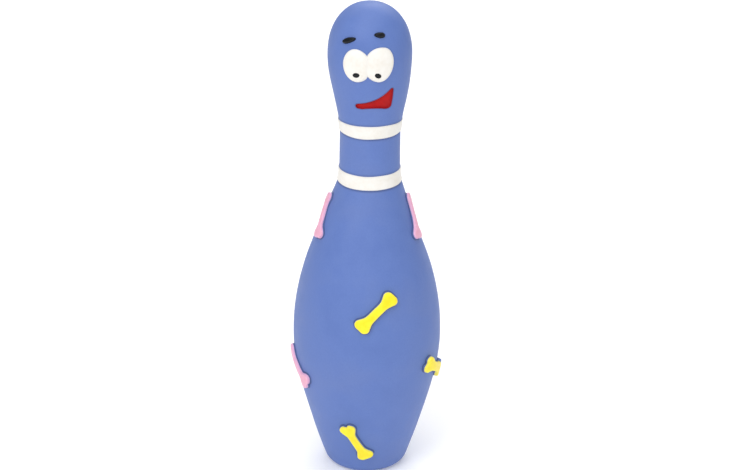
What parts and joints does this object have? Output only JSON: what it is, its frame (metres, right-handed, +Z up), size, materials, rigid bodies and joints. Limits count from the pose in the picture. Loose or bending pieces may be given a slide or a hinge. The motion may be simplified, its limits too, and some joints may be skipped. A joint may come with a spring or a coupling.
{
  "type": "squeaky bowling pin dog toy",
  "caption": "Hollow latex squeaky toy in the form of a bowling pin with a comic face, moulded bones, white neck bands and a reed squeaker in its base.",
  "frame": {"origin": "centre of the base, on the pin's axis, in the plane that the pin stands on", "axes": "+Z up along the pin's axis, -Y towards the viewer out of the face, +X to the viewer's right"},
  "size_m": [0.0656, 0.065, 0.21],
  "materials": {
    "blue_latex": "natural latex with a faint satin sheen and soft mottling",
    "white_latex": "brushed latex coat, satin",
    "black_latex": "brushed latex coat, glossy",
    "red_latex": "brushed latex coat, satin",
    "yellow_latex": "brushed latex coat, satin",
    "pink_latex": "brushed latex coat, satin",
    "wadding": "loose crimped polyester fibre",
    "squeaker_plastic": "natural moulded polyethylene, matt",
    "reed_film": "clear polyester film"
  },
  "bodies": {
    "toy": {"latex_skin": "blue_latex", "fibre_filling": "wadding", "squeaker_cup": "squeaker_plastic", "squeaker_lid": "squeaker_plastic", "tone_board": "squeaker_plastic", "reed_wedge": "squeaker_plastic", "upper_neck_band": "white_latex", "lower_neck_band": "white_latex", "left_eye": "white_latex", "right_eye": "white_latex", "left_pupil": "black_latex", "right_pupil": "black_latex", "left_eyebrow": "black_latex", "right_eyebrow": "black_latex", "mouth": "red_latex", "yellow_bone_centre": "yellow_latex", "yellow_bone_low": "yellow_latex", "yellow_bone_right": "yellow_latex", "pink_bone_upper_left": "pink_latex", "pink_bone_upper_right": "pink_latex", "pink_bone_lower_left": "pink_latex", "yellow_bone_back": "yellow_latex", "pink_bone_back_upper": "pink_latex", "pink_bone_back_low": "pink_latex"},
    "reed": {"reed": "reed_film"}
  },
  "joints": [
    {"name": "reed_flex", "type": "hinge", "parent": "toy", "child": "reed", "pos_m": [0, 0, 0.0052], "axis": [1, 0, 0], "range_deg": [-3, 3], "stiffness_Nm_per_rad": 0.004}
  ]
}
